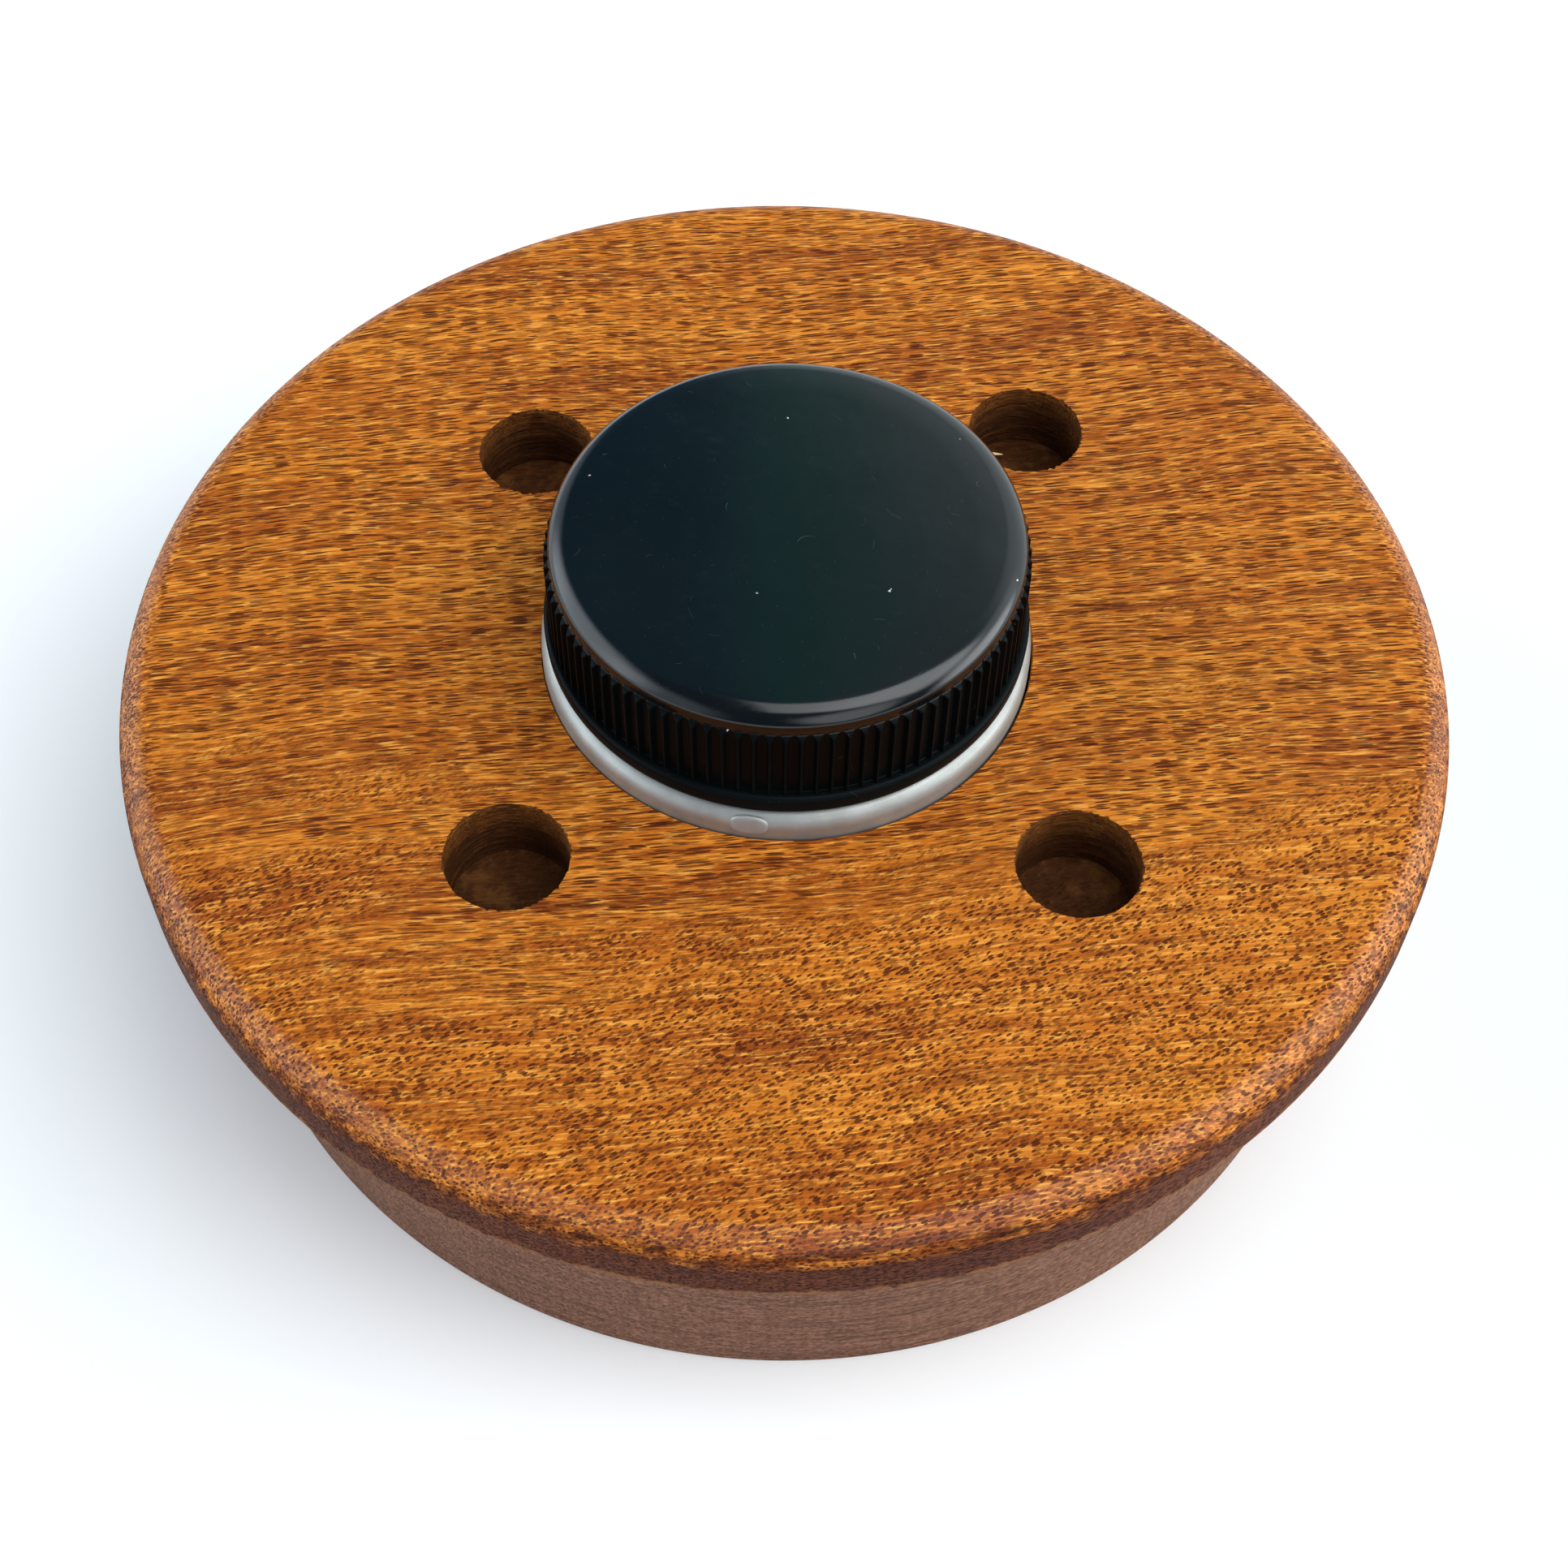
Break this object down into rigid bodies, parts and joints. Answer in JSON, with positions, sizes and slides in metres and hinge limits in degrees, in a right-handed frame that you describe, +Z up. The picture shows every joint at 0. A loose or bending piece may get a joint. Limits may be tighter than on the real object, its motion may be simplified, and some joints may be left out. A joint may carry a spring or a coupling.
{
  "type": "wooden peg stand with screw-cap jar",
  "caption": "Turned wooden stand with a flange, a narrower foot and drilled peg holes, holding a lift-out aluminium jar closed by a ribbed black screw cap.",
  "frame": {"origin": "centre of the foot's underside", "axes": "+Z up along the turning axis, -Y towards the side that the jar's nub is nearest, +X to the right"},
  "size_m": [0.112, 0.112, 0.0464],
  "materials": {
    "wood": "oiled, open grained",
    "aluminium": "satin",
    "black_plastic": "gloss",
    "liner_foam": "matt"
  },
  "bodies": {
    "base": {"wooden_base": "wood"},
    "jar_body": {"jar": "aluminium"},
    "lift_body": {"cap_liner": "liner_foam"},
    "cap_body": {"cap_shell": "black_plastic"}
  },
  "joints": [
    {"name": "jar_lift", "type": "slide", "parent": "base", "child": "jar_body", "axis": [0, 0, 1], "range_m": [0, 0.03]},
    {"name": "cap_lift", "type": "slide", "parent": "jar_body", "child": "lift_body", "axis": [0, 0, 1], "range_m": [0, 0.017]},
    {"name": "cap_spin", "type": "hinge", "parent": "lift_body", "child": "cap_body", "pos_m": [0, 0, 0.04], "axis": [0, 0, 1], "range_deg": [0, 1440]}
  ],
  "couplings": [
    {"joint": "cap_lift", "follows": "cap_spin", "m_per_rad": 0.0006737}
  ]
}
